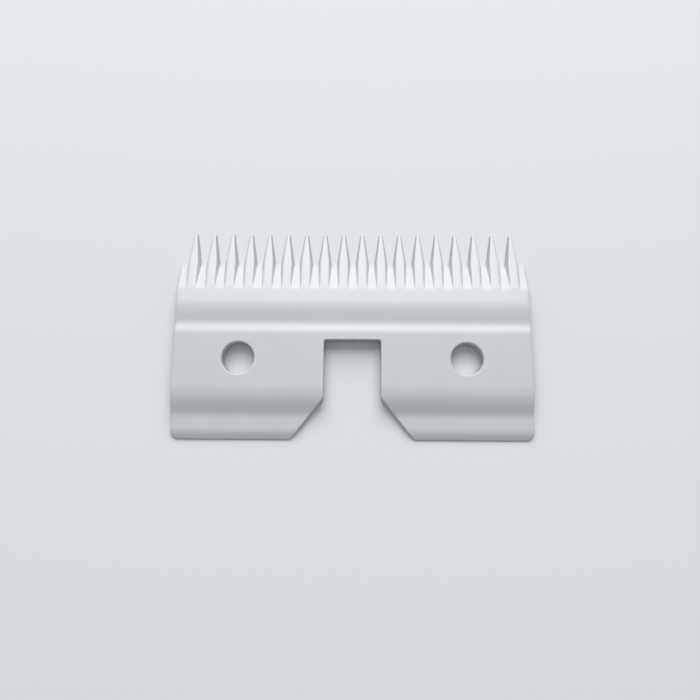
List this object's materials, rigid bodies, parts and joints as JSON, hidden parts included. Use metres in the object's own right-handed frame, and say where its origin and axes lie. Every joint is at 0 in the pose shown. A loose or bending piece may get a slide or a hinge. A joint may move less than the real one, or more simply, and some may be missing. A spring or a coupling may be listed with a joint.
{
  "type": "ceramic clipper blade",
  "caption": "Flat white ceramic cutter plate with a row of tapered teeth, a ribbed top, two through bores and a flared drive notch in its back edge.",
  "frame": {"origin": "centre of the footprint, on the ground face that slides on the comb", "axes": "+X along the row of teeth, +Y towards the tooth tips, +Z out of the ribbed face"},
  "size_m": [0.044, 0.026, 0.002],
  "materials": {
    "zirconia": "fine ground, satin"
  },
  "bodies": {
    "root": {"cutter_blade": "zirconia"}
  },
  "joints": []
}
